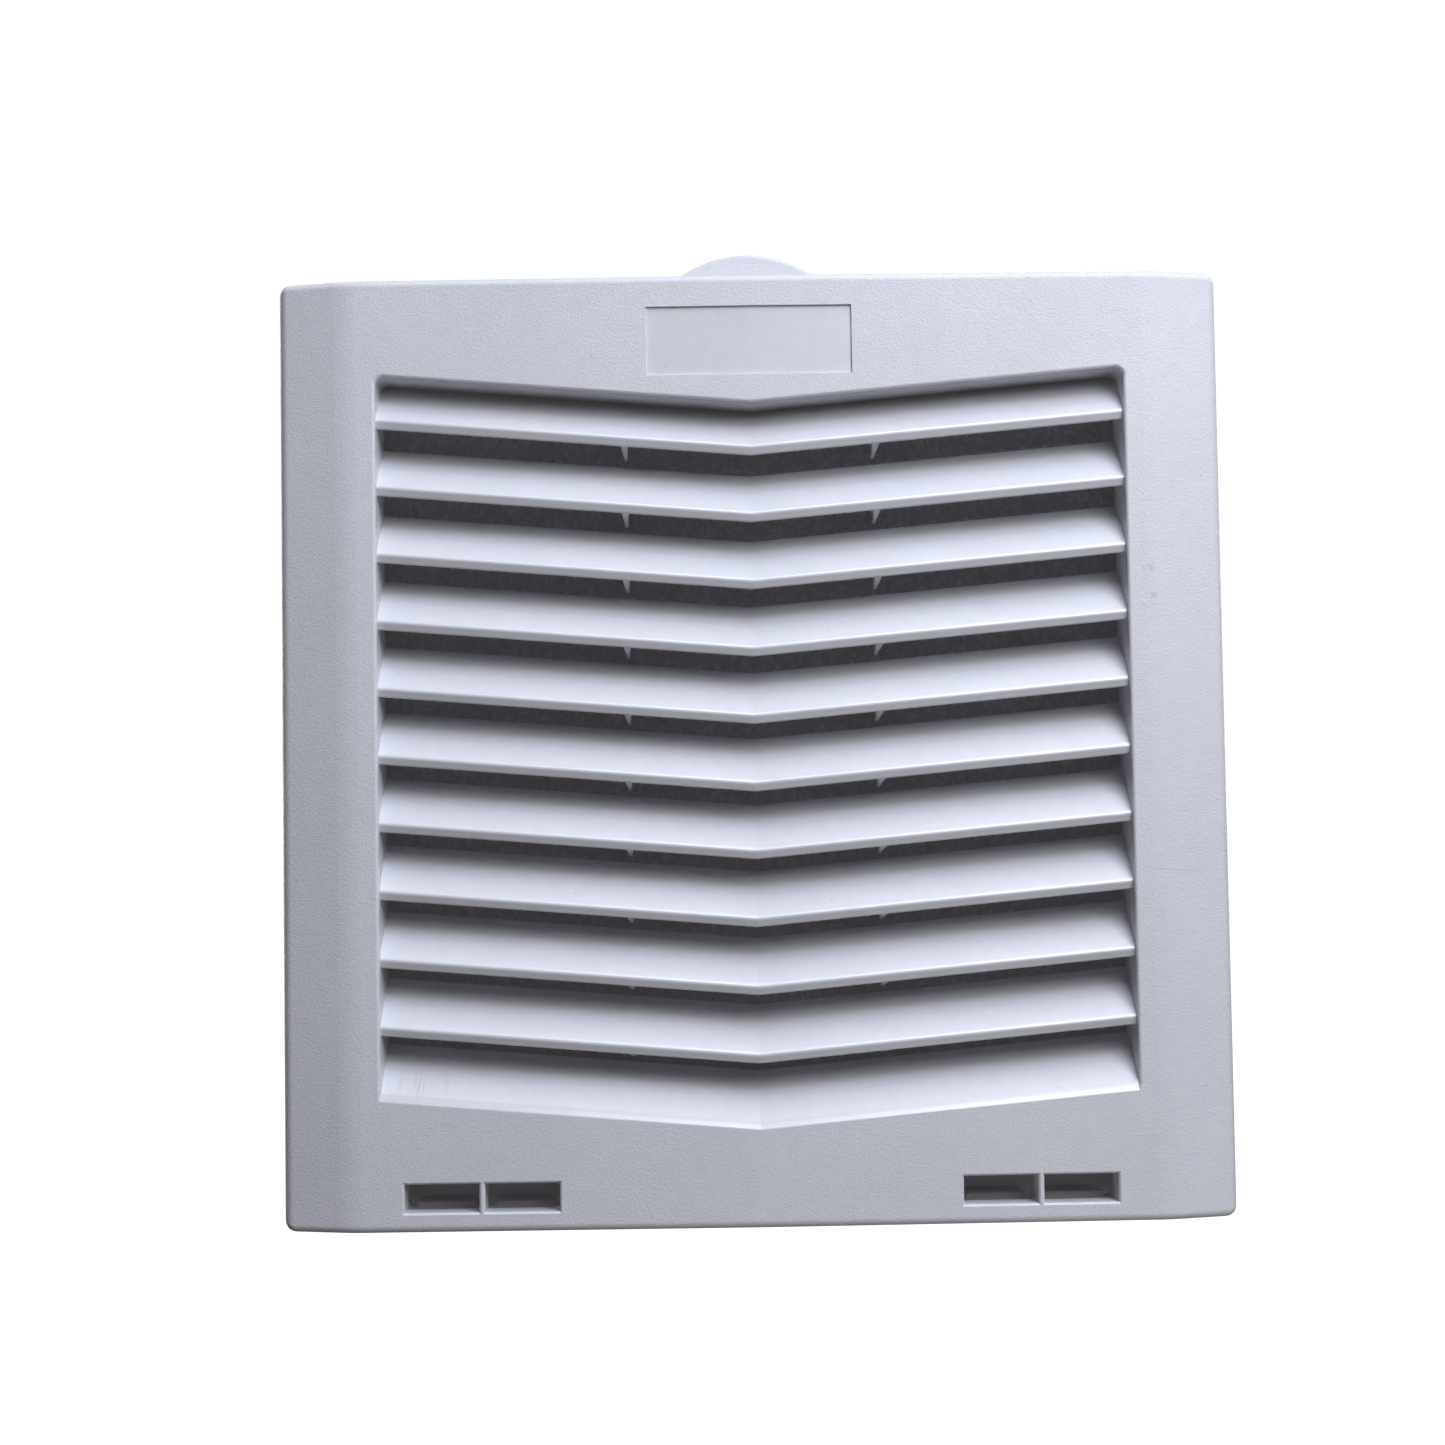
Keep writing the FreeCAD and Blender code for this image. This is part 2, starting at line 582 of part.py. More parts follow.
def mounting_frame():
    """Flange, collar, mat rim, ledge, hinge tongues, slot shields, tab guides and pawl ears in one moulding."""
    inner = COLLAR_HALF - COLLAR_WALL
    flange = square_ring(FLANGE_HALF, inner, FLANGE_FRONT, FLANGE_REAR, FLANGE_CORNER)
    collar = square_ring(COLLAR_HALF, inner, FLANGE_REAR, COLLAR_REAR, COLLAR_CORNER)
    rim = square_ring(RIM_HALF, inner, RIM_FRONT, FLANGE_FRONT, RIM_HALF - COLLAR_HALF + COLLAR_CORNER)
    ledge = square_ring(inner + JOIN, LEDGE_HALF, LEDGE_FRONT, LEDGE_REAR)
    parts = [flange, collar, rim, ledge]
    parts += [both_sides_apart(p) for p in tongues() + slot_shields() + tab_guides()]
    parts += [turned(pawl_ears(), angle) for angle in SIDES.values()]
    frame = fuse(parts)

    inner_x = PAWL_HALF + WINDOW_SIDE_GAP
    cuts = []
    for angle in SIDES.values():
        cuts.append(turned(box((-inner_x, inner_x), PAWL_WINDOW_Y,
                               (inner - OVERSHOOT, COLLAR_HALF + OVERSHOOT)), angle))
        cuts.append(turned(pawl_pin(PAWL_PIN_RADIUS), angle))
    cuts += corner_bores(SCREW_HOLE_HALF, SCREW_HOLE_RADIUS, FLANGE_FRONT - OVERSHOOT, OVERSHOOT)
    cuts += corner_bores(GRID_SCREW_HALF, GRID_SCREW_RADIUS, GRID_SCREW_TIP, LEDGE_REAR + OVERSHOOT)
    span = tongue_spans()
    low, high = span[0][0] - OVERSHOOT, span[1][1] + OVERSHOOT
    bore = rod((low, HINGE_Y, HINGE_Z), (1, 0, 0), HINGE_PIN_RADIUS + HINGE_RUNNING_GAP, high - low)
    cuts.append(both_sides_apart(bore))
    return frame.cut(cuts)


# ---- release tab --------------------------------------------------------------
def release_tab():
    """Round-topped push tab with side feet, spring shoulders and a forward catch arm."""
    thickness = (TAB_FRONT, TAB_REAR)
    plate = box((-TAB_HALF, TAB_HALF), thickness, (TAB_BOTTOM, TAB_NECK_Z + JOIN))
    feet = box((-TAB_FOOT_HALF, TAB_FOOT_HALF), thickness, (TAB_BOTTOM, TAB_FOOT_TOP))
    disc = rod((0, TAB_FRONT, TAB_CENTRE_Z), (0, 1, 0), TAB_RADIUS, TAB_REAR - TAB_FRONT)
    crown = disc.common(box((-TAB_RADIUS, TAB_RADIUS), thickness, (TAB_NECK_Z, TAB_CENTRE_Z + TAB_RADIUS)))
    arm = box((-CATCH_HALF, CATCH_HALF), (CATCH_ARM_FRONT, TAB_FRONT + JOIN), CATCH_ARM_Z)
    root_z, ramp_z, top_z = CATCH_NOSE_Z
    nose = side_prism(sharp([(CATCH_ARM_FRONT, root_z), (CATCH_ARM_FRONT, ramp_z), (CATCH_NOSE_Y[0], top_z),
                             (CATCH_NOSE_Y[1], top_z), (CATCH_NOSE_Y[1], root_z)]), -CATCH_HALF, CATCH_HALF)
    tab = fuse([plate, feet, crown, arm, nose])
    for centre in (-TAB_SPRING_X, TAB_SPRING_X):
        tab = tab.cut(box((centre - TAB_SPRING_POCKET, centre + TAB_SPRING_POCKET),
                          (TAB_FRONT - OVERSHOOT, TAB_REAR + OVERSHOOT),
                          (TAB_BOTTOM - OVERSHOOT, TAB_SHOULDER_Z)))
    rim = [
        e for e in tab.Edges
        if e.Curve.TypeId == "Part::GeomCircle" and abs(e.Curve.Radius - TAB_RADIUS) < EPS
    ]
    return tab.makeFillet(TAB_RIM_RADIUS, rim)


def tab_spring(x):
    """Compression spring under one shoulder of the release tab."""
    end = TAB_SPRING_WIRE + TAB_SPRING_END_GAP
    low = TAB_SPRING_SEAT + end
    height = TAB_SHOULDER_Z - end - low
    helix = Part.makeHelix(height / TAB_SPRING_TURNS, height, TAB_SPRING_RADIUS)
    section = Part.Wire(Part.makeCircle(TAB_SPRING_WIRE, Vector(TAB_SPRING_RADIUS, 0, 0), Vector(0, 1, 0)))
    coil = Part.Wire(helix).makePipeShell([section], True, True)
    coil.translate(Vector(x, (TAB_FRONT + TAB_REAR) / 2, low))
    return coil


# ---- spring pawls -------------------------------------------------------------
def pawl():
    """Ramped pawl that grips the wall from behind, on the top side."""
    y, z = PAWL_Y, PAWL_Z
    front, high, low = PAWL_FRONT
    outline = [(y, z + PAWL_BARREL, 0), (*PAWL_RAMP_FOOT, 0), (*PAWL_CREST, 0.6), (front, high, 0.4),
               (front, low, 0.6), (*PAWL_HEEL, 0), (y, z - PAWL_BARREL, 0)]
    body = side_prism(outline, -PAWL_HALF, PAWL_HALF)
    barrel = rod((-PAWL_HALF, y, z), (1, 0, 0), PAWL_BARREL, 2 * PAWL_HALF)
    reach = PAWL_HALF + OVERSHOOT
    bore = rod((-reach, y, z), (1, 0, 0), PAWL_PIN_RADIUS + PAWL_RUNNING_GAP, 2 * reach)
    finger_pocket = box((-PAWL_POCKET_HALF, PAWL_POCKET_HALF), PAWL_POCKET_Y,
                        (PAWL_POCKET_FLOOR, PAWL_CREST[1] + OVERSHOOT))
    return fuse([body, barrel]).cut([bore, finger_pocket])


def pawl_pin(radius):
    """Pin through the ears of the top pawl."""
    return rod((-EAR_OUTER_X, PAWL_Y, PAWL_Z), (1, 0, 0), radius, 2 * EAR_OUTER_X)


def pawl_leaf():
    """Bent steel leaf, clipped over the rear edge of the collar, that holds the top pawl out."""
    t = LEAF_THICKNESS
    clip_z = COLLAR_HALF + LEAF_GAP
    rear_y = COLLAR_REAR + LEAF_GAP
    knee_y, inside_z = LEAF_KNEE
    tip_y, tip_z = LEAF_TIP
    outline = sharp([
        (LEAF_CLIP_Y, clip_z), (rear_y, clip_z), (rear_y, inside_z), (knee_y, inside_z), (tip_y, tip_z),
        (tip_y, tip_z - t), (knee_y, inside_z - t), (rear_y + t, inside_z - t), (rear_y + t, clip_z + t),
        (LEAF_CLIP_Y, clip_z + t),
    ])
    return side_prism(outline, -LEAF_HALF, LEAF_HALF)


# ---- soft parts and rear grid -------------------------------------------------
def filter_mat():
    """Filter mat as a plain block."""
    return box((-MAT_HALF, MAT_HALF), (MAT_FRONT, MAT_REAR), (-MAT_HALF, MAT_HALF))


def flange_gasket():
    """Foam frame between flange and wall."""
    ring = square_ring(GASKET_HALF, GASKET_HOLE_HALF, FLANGE_REAR, 0.0, FLANGE_CORNER)
    return ring.cut(corner_bores(SCREW_HOLE_HALF, SCREW_HOLE_RADIUS, FLANGE_REAR - OVERSHOOT, OVERSHOOT))


def rear_grid():
    """Screwed-on grid that carries the filter mat from behind."""
    border = square_ring(GRID_HALF, GRID_HALF - GRID_BORDER, GRID_FRONT, GRID_REAR, GRID_CORNER)
    reach = GRID_HALF - GRID_BORDER / 2
    step = 2 * (GRID_HALF - GRID_BORDER) / (GRID_BARS + 1)
    parts = [border]
    for i in range(GRID_BARS):
        centre = step * (i + 1) - (GRID_HALF - GRID_BORDER)
        limits = (centre - GRID_BAR_WIDTH / 2, centre + GRID_BAR_WIDTH / 2)
        parts.append(box(limits, (GRID_FRONT, GRID_REAR), (-reach, reach)))
        parts.append(box((-reach, reach), (GRID_FRONT, GRID_REAR - GRID_CROSSBAR_STEP), limits))
    bores = corner_bores(GRID_SCREW_HALF, GRID_SCREW_RADIUS, GRID_FRONT - OVERSHOOT, GRID_REAR + OVERSHOOT)
    return fuse(parts).cut(bores)


def grid_screws():
    """Four small pan-head screws through the corners of the grid."""
    screws = []
    top = GRID_REAR + GRID_SCREW_HEAD_HEIGHT
    length, width, depth = GRID_SCREW_CROSS
    for x in (-GRID_SCREW_HALF, GRID_SCREW_HALF):
        for z in (-GRID_SCREW_HALF, GRID_SCREW_HALF):
            shank = rod((x, GRID_SCREW_TIP, z), (0, 1, 0), GRID_SCREW_RADIUS, GRID_REAR - GRID_SCREW_TIP)
            head = rod((x, GRID_REAR, z), (0, 1, 0), GRID_SCREW_HEAD_RADIUS, GRID_SCREW_HEAD_HEIGHT)
            rear_edge = [e for e in head.Edges if abs(e.CenterOfMass.y - top) < EPS]
            head = head.makeFillet(GRID_SCREW_HEAD_ROUND, rear_edge)
            recess = (top - depth, top + OVERSHOOT)
            cross = [box((x - length, x + length), recess, (z - width, z + width)),
                     box((x - width, x + width), recess, (z - length, z + length))]
            screws.append(fuse([shank, head]).cut(cross))
    return Part.makeCompound(screws)


# ---- all parts ----------------------------------------------------------------
def all_parts():
    """Node name to shape."""
    parts = {
        "louvre_cover": louvre_cover(),
        "hinge_pin_left": hinge_pin(-1),
        "hinge_pin_right": hinge_pin(1),
        "mounting_frame": mounting_frame(),
        "release_tab": release_tab(),
        "tab_spring_left": tab_spring(-TAB_SPRING_X),
        "tab_spring_right": tab_spring(TAB_SPRING_X),
        "filter_mat": filter_mat(),
        "flange_gasket": flange_gasket(),
        "rear_grid": rear_grid(),
        "grid_screws": grid_screws(),
    }
    for side, angle in SIDES.items():
        parts["pawl_" + side] = turned(pawl(), angle)
        parts["pawl_pin_" + side] = turned(pawl_pin(PAWL_PIN_RADIUS), angle)
        parts["pawl_spring_" + side] = turned(pawl_leaf(), angle)
    return parts


os.makedirs("parts", exist_ok=True)
for name, shape in all_parts().items():
    shape.exportStep("parts/" + name + ".step")
    bounds = shape.BoundBox
    print(name, shape.isValid(), len(shape.Solids), round(shape.Volume, 1),
          [round(v, 2) for v in (bounds.XMin, bounds.XMax, bounds.YMin, bounds.YMax, bounds.ZMin, bounds.ZMax)])
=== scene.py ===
"""Looks of the louvred filter vent cover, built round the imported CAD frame.

Everything is in metres in the row frame: X right, Y into the enclosure, Z up.
Lengths below are written in millimetres times MM.
"""

import math
import random

import bmesh
import bpy
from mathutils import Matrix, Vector, noise

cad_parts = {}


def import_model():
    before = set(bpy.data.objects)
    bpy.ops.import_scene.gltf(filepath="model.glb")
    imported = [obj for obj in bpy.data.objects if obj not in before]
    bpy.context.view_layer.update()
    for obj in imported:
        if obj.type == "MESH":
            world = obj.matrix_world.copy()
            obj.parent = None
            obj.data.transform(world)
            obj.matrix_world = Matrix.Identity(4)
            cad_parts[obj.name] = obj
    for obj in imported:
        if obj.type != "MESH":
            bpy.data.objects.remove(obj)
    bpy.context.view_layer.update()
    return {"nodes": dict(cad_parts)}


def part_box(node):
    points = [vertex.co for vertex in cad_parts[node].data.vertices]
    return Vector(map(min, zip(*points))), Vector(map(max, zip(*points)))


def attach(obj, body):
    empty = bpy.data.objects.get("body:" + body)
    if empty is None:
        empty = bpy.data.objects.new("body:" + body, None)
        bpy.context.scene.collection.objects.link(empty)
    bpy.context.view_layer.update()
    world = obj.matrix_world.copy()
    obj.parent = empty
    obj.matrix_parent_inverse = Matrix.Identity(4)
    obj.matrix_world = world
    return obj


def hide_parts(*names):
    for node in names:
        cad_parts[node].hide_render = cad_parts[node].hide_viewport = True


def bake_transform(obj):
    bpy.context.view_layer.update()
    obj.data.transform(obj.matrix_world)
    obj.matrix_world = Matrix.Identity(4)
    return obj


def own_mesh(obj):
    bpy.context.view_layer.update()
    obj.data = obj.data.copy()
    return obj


MM = 0.001

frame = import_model()

# ---- driving sizes of the cover, as the CAD has them --------------------------
COVER_LOW, COVER_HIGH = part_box("louvre_cover")
HALF = COVER_HIGH.x
RIDGE_Y = COVER_LOW.y
CREASE_X = 109.0 * MM
CREASE_FALL = 1.5 * MM
FACET_FALL = 4.5 * MM
WINDOW_HALF = 100.9 * MM
WINDOW_TOP = 92.6 * MM
WINDOW_BOTTOM = -101.6 * MM
V_RISE = math.tan(math.radians(4.95))
PLATE_HALF = 27.7 * MM
PLATE_LOW, PLATE_HIGH = 100.4 * MM, 118.9 * MM
SIDES = {"top": 0, "right": 90, "bottom": 180, "left": 270}


# ---- node helpers -------------------------------------------------------------
class Tree:
    """Short-hand for building one material's node tree."""

    def __init__(self, name):
        self.material = bpy.data.materials.new(name)
        self.material.use_nodes = True
        self.nodes = self.material.node_tree.nodes
        self.links = self.material.node_tree.links
        self.shader = self.nodes["Principled BSDF"]
        self.place = self.add("ShaderNodeTexCoord").outputs["Object"]

    def add(self, kind, **settings):
        node = self.nodes.new(kind)
        for key, value in settings.items():
            setattr(node, key, value)
        return node

    def put(self, value, socket):
        if isinstance(value, bpy.types.NodeSocket):
            self.links.new(value, socket)
        else:
            socket.default_value = value

    def math(self, operation, *values, clamp=False):
        node = self.add("ShaderNodeMath", operation=operation, use_clamp=clamp)
        for value, socket in zip(values, node.inputs):
            self.put(value, socket)
        return node.outputs[0]

    def noise(self, scale, detail=2.0, roughness=0.5, place=None, distortion=0.0):
        node = self.add("ShaderNodeTexNoise")
        self.put(place or self.place, node.inputs["Vector"])
        self.put(scale, node.inputs["Scale"])
        self.put(detail, node.inputs["Detail"])
        self.put(roughness, node.inputs["Roughness"])
        self.put(distortion, node.inputs["Distortion"])
        return node.outputs["Fac"]

    def cells(self, scale, feature="F1", smooth=None):
        node = self.add("ShaderNodeTexVoronoi", feature=feature)
        self.put(self.place, node.inputs["Vector"])
        self.put(scale, node.inputs["Scale"])
        if smooth is not None:
            self.put(smooth, node.inputs["Smoothness"])
        return node.outputs["Distance"]

    def stretch(self, scale):
        node = self.add("ShaderNodeMapping")
        self.put(self.place, node.inputs["Vector"])
        node.inputs["Scale"].default_value = scale
        return node.outputs["Vector"]

    def span(self, value, low, high, to_low=0.0, to_high=1.0):
        node = self.add("ShaderNodeMapRange", interpolation_type="SMOOTHSTEP")
        for item, name in ((value, "Value"), (low, "From Min"), (high, "From Max"),
                           (to_low, "To Min"), (to_high, "To Max")):
            self.put(item, node.inputs[name])
        return node.outputs["Result"]

    def mix(self, share, first, second):
        node = self.add("ShaderNodeMix", data_type="RGBA")
        self.put(share, node.inputs["Factor"])
        for value, name in ((first, "A"), (second, "B")):
            socket = [s for s in node.inputs if s.name == name and s.type == "RGBA"][0]
            if isinstance(value, tuple):
                value = value + (1.0,)
            self.put(value, socket)
        return [s for s in node.outputs if s.type == "RGBA"][0]

    def bump(self, height, distance, strength=1.0, under=None):
        node = self.add("ShaderNodeBump")
        self.put(height, node.inputs["Height"])
        self.put(distance, node.inputs["Distance"])
        self.put(strength, node.inputs["Strength"])
        if under is not None:
            self.put(under, node.inputs["Normal"])
        return node.outputs["Normal"]

    def rounded(self, radius):
        node = self.add("ShaderNodeBevel", samples=4)
        self.put(radius, node.inputs["Radius"])
        return node.outputs["Normal"]

    def finish(self, color, roughness, normal=None, metallic=0.0, specular=0.5):
        self.put(color + (1.0,) if isinstance(color, tuple) else color, self.shader.inputs["Base Color"])
        self.put(roughness, self.shader.inputs["Roughness"])
        self.put(metallic, self.shader.inputs["Metallic"])
        self.put(specular, self.shader.inputs["Specular IOR Level"])
        if normal is not None:
            self.put(normal, self.shader.inputs["Normal"])
        return self.material

    def xyz(self):
        node = self.add("ShaderNodeSeparateXYZ")
        self.put(self.place, node.inputs[0])
        return node.outputs


# ---- plastics -----------------------------------------------------------------
COVER_GREY = (0.62, 0.635, 0.69)
COVER_GREY_LIGHT = (0.66, 0.675, 0.73)
FRAME_GREY = (0.52, 0.53, 0.565)
DIRT = (0.33, 0.31, 0.28)
GRAIN_DEPTH = 0.03 * MM
GRAIN_ROUGHNESS = (0.46, 0.58)
SMOOTH_ROUGHNESS = (0.35, 0.39)
EDGE_SHINE = (-0.12, 0.4)        # change of roughness and of specular level on the rounded edges
SKIN = 1.5 * MM                  # the grain of the front reaches this deep behind the face
SLACK = 0.3 * MM                 # margin of the smooth areas past the window and into the plate
SMUDGE = (106.5 * MM, 42.0 * MM, 3.2 * MM, 9.0 * MM)         # X, Z and reach of each mark
SCRATCH = (113.0 * MM, -34.5 * MM, 11.0 * MM, 0.28 * MM)
SCRATCH_TILT = -0.05
SCUFF = (-90.0 * MM, -89.0 * MM, 9.0 * MM, 4.0 * MM)


def grain(tree):
    """Height of the moulded grain: soft blobs well under a millimetre wide."""
    blobs = tree.noise(1700.0, 1.2, 0.45)
    lumps = tree.span(blobs, 0.34, 0.66)
    fine = tree.noise(3200.0, 1.0, 0.5)
    return tree.math("MULTIPLY_ADD", fine, 0.22, lumps)


def spot(tree, x, z, reach_x, reach_z, tilt=0.0):
    """1 at a place on the front, falling to 0 at the edge of an ellipse."""
    axes = tree.xyz()
    dx = tree.math("SUBTRACT", axes["X"], x)
    dz = tree.math("SUBTRACT", tree.math("SUBTRACT", axes["Z"], z), tree.math("MULTIPLY", dx, tilt))
    across = tree.math("POWER", tree.math("DIVIDE", dx, reach_x), 2.0)
    upward = tree.math("POWER", tree.math("DIVIDE", dz, reach_z), 2.0)
    return tree.span(tree.math("ADD", across, upward), 0.0, 1.0, 1.0, 0.0)


def cover_material():
    """Grained outside, smooth louvres, sill and plate with shinier edges, and light marks of use."""
    tree = Tree("cover_plastic_look")
    axes = tree.xyz()
    side = tree.math("ABSOLUTE", axes["X"])
    rise = tree.math("MULTIPLY", side, V_RISE)
    level = tree.math("SUBTRACT", axes["Z"], rise)

    below_top = tree.math("LESS_THAN", level, WINDOW_TOP + SLACK)
    above_sill = tree.math("GREATER_THAN", level, WINDOW_BOTTOM - 0.5 * MM)
    within = tree.math("LESS_THAN", side, WINDOW_HALF + SLACK)
    window = tree.math("MULTIPLY", tree.math("MULTIPLY", below_top, above_sill), within)

    face = tree.math("MULTIPLY_ADD", side, CREASE_FALL / CREASE_X, RIDGE_Y)
    facet_slope = FACET_FALL / (HALF - CREASE_X) - CREASE_FALL / CREASE_X
    beyond = tree.math("MAXIMUM", tree.math("SUBTRACT", side, CREASE_X), 0.0)
    face = tree.math("MULTIPLY_ADD", beyond, facet_slope, face)
    depth = tree.math("SUBTRACT", axes["Y"], face)
    on_front = tree.math("LESS_THAN", depth, SKIN)
    on_side = tree.math("GREATER_THAN", side, HALF - 0.5 * MM)
    on_end = tree.math("GREATER_THAN", tree.math("ABSOLUTE", axes["Z"]), HALF - 0.5 * MM)
    outside = tree.math("MAXIMUM", on_front, tree.math("MAXIMUM", on_side, on_end))

    plate_side = tree.math("LESS_THAN", side, PLATE_HALF)
    plate_low = tree.math("GREATER_THAN", axes["Z"], PLATE_LOW)
    plate_high = tree.math("LESS_THAN", axes["Z"], PLATE_HIGH)
    plate_deep = tree.math("GREATER_THAN", depth, SLACK)
    plate = tree.math("MULTIPLY", tree.math("MULTIPLY", plate_side, plate_low),
                      tree.math("MULTIPLY", plate_high, plate_deep))

    smooth = tree.math("MAXIMUM", window, plate)
    grained = tree.math("MULTIPLY", outside, tree.math("SUBTRACT", 1.0, smooth))

    cloud = tree.noise(18.0, 3.0, 0.6)
    mottle = tree.noise(260.0, 2.0, 0.6)
    tone = tree.math("MULTIPLY_ADD", cloud, 0.5, tree.math("MULTIPLY", mottle, 0.5))
    color = tree.mix(tree.span(tone, 0.3, 0.7), COVER_GREY, COVER_GREY_LIGHT)

    specks = tree.cells(240.0)
    speck_mask = tree.math("MULTIPLY", tree.span(specks, 0.05, 0.11, 1.0, 0.0),
                           tree.span(tree.noise(70.0, 1.0), 0.60, 0.66))
    smudge = tree.math("MULTIPLY", spot(tree, *SMUDGE), tree.span(tree.noise(420.0, 3.0, 0.7), 0.5, 0.68))
    scratch = spot(tree, *SCRATCH, SCRATCH_TILT)
    strokes = tree.noise(1.0, 2.0, 0.5, tree.stretch((1500.0, 60.0, 90.0)))
    scuff = tree.math("MULTIPLY", spot(tree, *SCUFF), tree.span(strokes, 0.55, 0.66))
    dirt = tree.math("MAXIMUM", tree.math("MULTIPLY", speck_mask, 0.35),
                     tree.math("MULTIPLY", smudge, 0.5))
    dirt = tree.math("MAXIMUM", dirt, tree.math("MULTIPLY", scratch, 0.22))
    dirt = tree.math("MAXIMUM", dirt, tree.math("MULTIPLY", scuff, 0.3))
    color = tree.mix(dirt, color, DIRT)

    handling = tree.noise(45.0, 3.0, 0.65)
    on_lips = tree.span(depth, 1.9 * MM, 2.6 * MM, 1.0, 0.0)
    on_sill_edge = tree.span(depth, 0.5 * MM, 0.9 * MM, 1.0, 0.0)
    near_sill = tree.math("LESS_THAN", level, WINDOW_BOTTOM + 4.0 * MM)
    glossy = tree.math("ADD", tree.math("MULTIPLY", near_sill, on_sill_edge),
                       tree.math("MULTIPLY", tree.math("SUBTRACT", 1.0, near_sill), on_lips))
    edge = tree.math("MULTIPLY", window, glossy)
    rough_smooth = tree.span(handling, 0.3, 0.7, *SMOOTH_ROUGHNESS)
    rough_smooth = tree.math("MULTIPLY_ADD", edge, EDGE_SHINE[0], rough_smooth)
    rough_grain = tree.span(handling, 0.3, 0.7, *GRAIN_ROUGHNESS)
    rough_mix = tree.math("SUBTRACT", rough_grain, rough_smooth)
    roughness = tree.math("MULTIPLY_ADD", rough_mix, grained, rough_smooth)

    ripple = tree.bump(tree.noise(70.0, 2.0, 0.5), 0.012 * MM, 1.0, tree.rounded(0.25 * MM))
    height = tree.math("MULTIPLY", grain(tree), grained)
    normal = tree.bump(height, GRAIN_DEPTH, 1.0, ripple)
    gloss = tree.math("MULTIPLY_ADD", edge, EDGE_SHINE[1], 0.5)
    return tree.finish(color, roughness, normal, 0.0, gloss)


def tab_material():
    """The same grained plastic for the release tab."""
    tree = Tree("tab_plastic_look")
    darker = tuple(c * 0.93 for c in COVER_GREY)
    color = tree.mix(tree.span(tree.noise(30.0, 3.0), 0.3, 0.7), darker, COVER_GREY)
    normal = tree.bump(grain(tree), GRAIN_DEPTH)
    return tree.finish(color, tree.span(tree.noise(50.0), 0.3, 0.7, 0.46, 0.56), normal)


def frame_material(name, tint):
    """Smooth satin moulding with faint flow clouds and a fine spark-eroded texture."""
    tree = Tree(name)
    darker = tuple(c * 0.93 for c in tint)
    flow = tree.noise(22.0, 3.0, 0.6, tree.stretch((1.0, 2.0, 1.0)), 0.6)
    dust = tree.span(tree.noise(160.0, 4.0, 0.7), 0.56, 0.74, 0.0, 0.35)
    color = tree.mix(dust, tree.mix(tree.span(flow, 0.3, 0.7), darker, tint), DIRT)
    under = tree.bump(tree.noise(60.0, 2.0), 0.04 * MM, 1.0, tree.rounded(0.3 * MM))
    normal = tree.bump(tree.noise(2400.0, 2.0, 0.6), 0.02 * MM, 1.0, under)
    return tree.finish(color, tree.span(flow, 0.2, 0.8, 0.42, 0.56), normal)


# ---- metals -------------------------------------------------------------------
def steel_material(name, tint, along, roughness):
    """Drawn or rolled steel: fine lines along one axis and slight staining."""
    tree = Tree(name)
    lines = tree.noise(1.0, 3.0, 0.6, tree.stretch(along))
    stain = tree.span(tree.noise(150.0, 3.0, 0.6), 0.4, 0.75)
    color = tree.mix(stain, tint, tuple(c * 0.86 for c in tint))
    normal = tree.bump(lines, 0.01 * MM)
    rough = tree.span(lines, 0.3, 0.7, roughness - 0.08, roughness + 0.1)
    return tree.finish(color, rough, normal, 0.65)


# ---- soft materials -----------------------------------------------------------
def fibre_material(name, dark, light, depth):
    """Needled fibre: dark ground with thin, lighter strands in several directions."""
    tree = Tree(name)
    strands = None
    for scale in ((2600.0, 400.0, 260.0), (260.0, 400.0, 2600.0), (1500.0, 400.0, 1500.0)):
        layer = tree.span(tree.noise(1.0, 3.0, 0.65, tree.stretch(scale), 1.4), 0.52, 0.72)
        strands = layer if strands is None else tree.math("MAXIMUM", strands, layer)
    tufts = tree.span(tree.noise(620.0, 4.0, 0.7), 0.42, 0.68)
    share = tree.math("MULTIPLY_ADD", strands, 0.6, tree.math("MULTIPLY", tufts, 0.4))
    color = tree.mix(share, dark, light)
    height = tree.math("MULTIPLY_ADD", strands, 0.5, tufts)
    material = tree.finish(color, 0.95, tree.bump(height, depth), 0.0, 0.15)
    tree.put(0.25, tree.shader.inputs["Sheen Weight"])
    return material


def foam_material():
    """Closed-cell black foam with open surface pores."""
    tree = Tree("gasket_foam_look")
    pores = tree.cells(1500.0, "SMOOTH_F1", 0.35)
    big = tree.cells(650.0, "SMOOTH_F1", 0.3)
    cell = tree.math("MULTIPLY_ADD", big, 0.6, pores)
    color = tree.mix(tree.span(cell, 0.2, 0.9), (0.012, 0.012, 0.013), (0.05, 0.05, 0.052))
    normal = tree.bump(tree.span(cell, 0.15, 0.8), 0.12 * MM)
    return tree.finish(color, tree.span(tree.noise(120.0), 0.3, 0.7, 0.78, 0.92), normal, 0.0, 0.25)


# ---- mesh helpers -------------------------------------------------------------
def new_piece(name, mesh, material, body, smooth=True):
    """Links a mesh as a shown piece that rides on a body."""
    piece = bpy.data.objects.new(name, mesh)
    bpy.context.scene.collection.objects.link(piece)
    mesh.materials.append(material)
    for polygon in mesh.polygons:
        polygon.use_smooth = smooth
    if body is not None:
        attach(piece, body)
    return piece


def mesh_from(name, bm):
    """Finishes a bmesh into a mesh with outward normals."""
    bmesh.ops.recalc_face_normals(bm, faces=bm.faces)
    mesh = bpy.data.meshes.new(name)
    bm.to_mesh(mesh)
    bm.free()
    return mesh


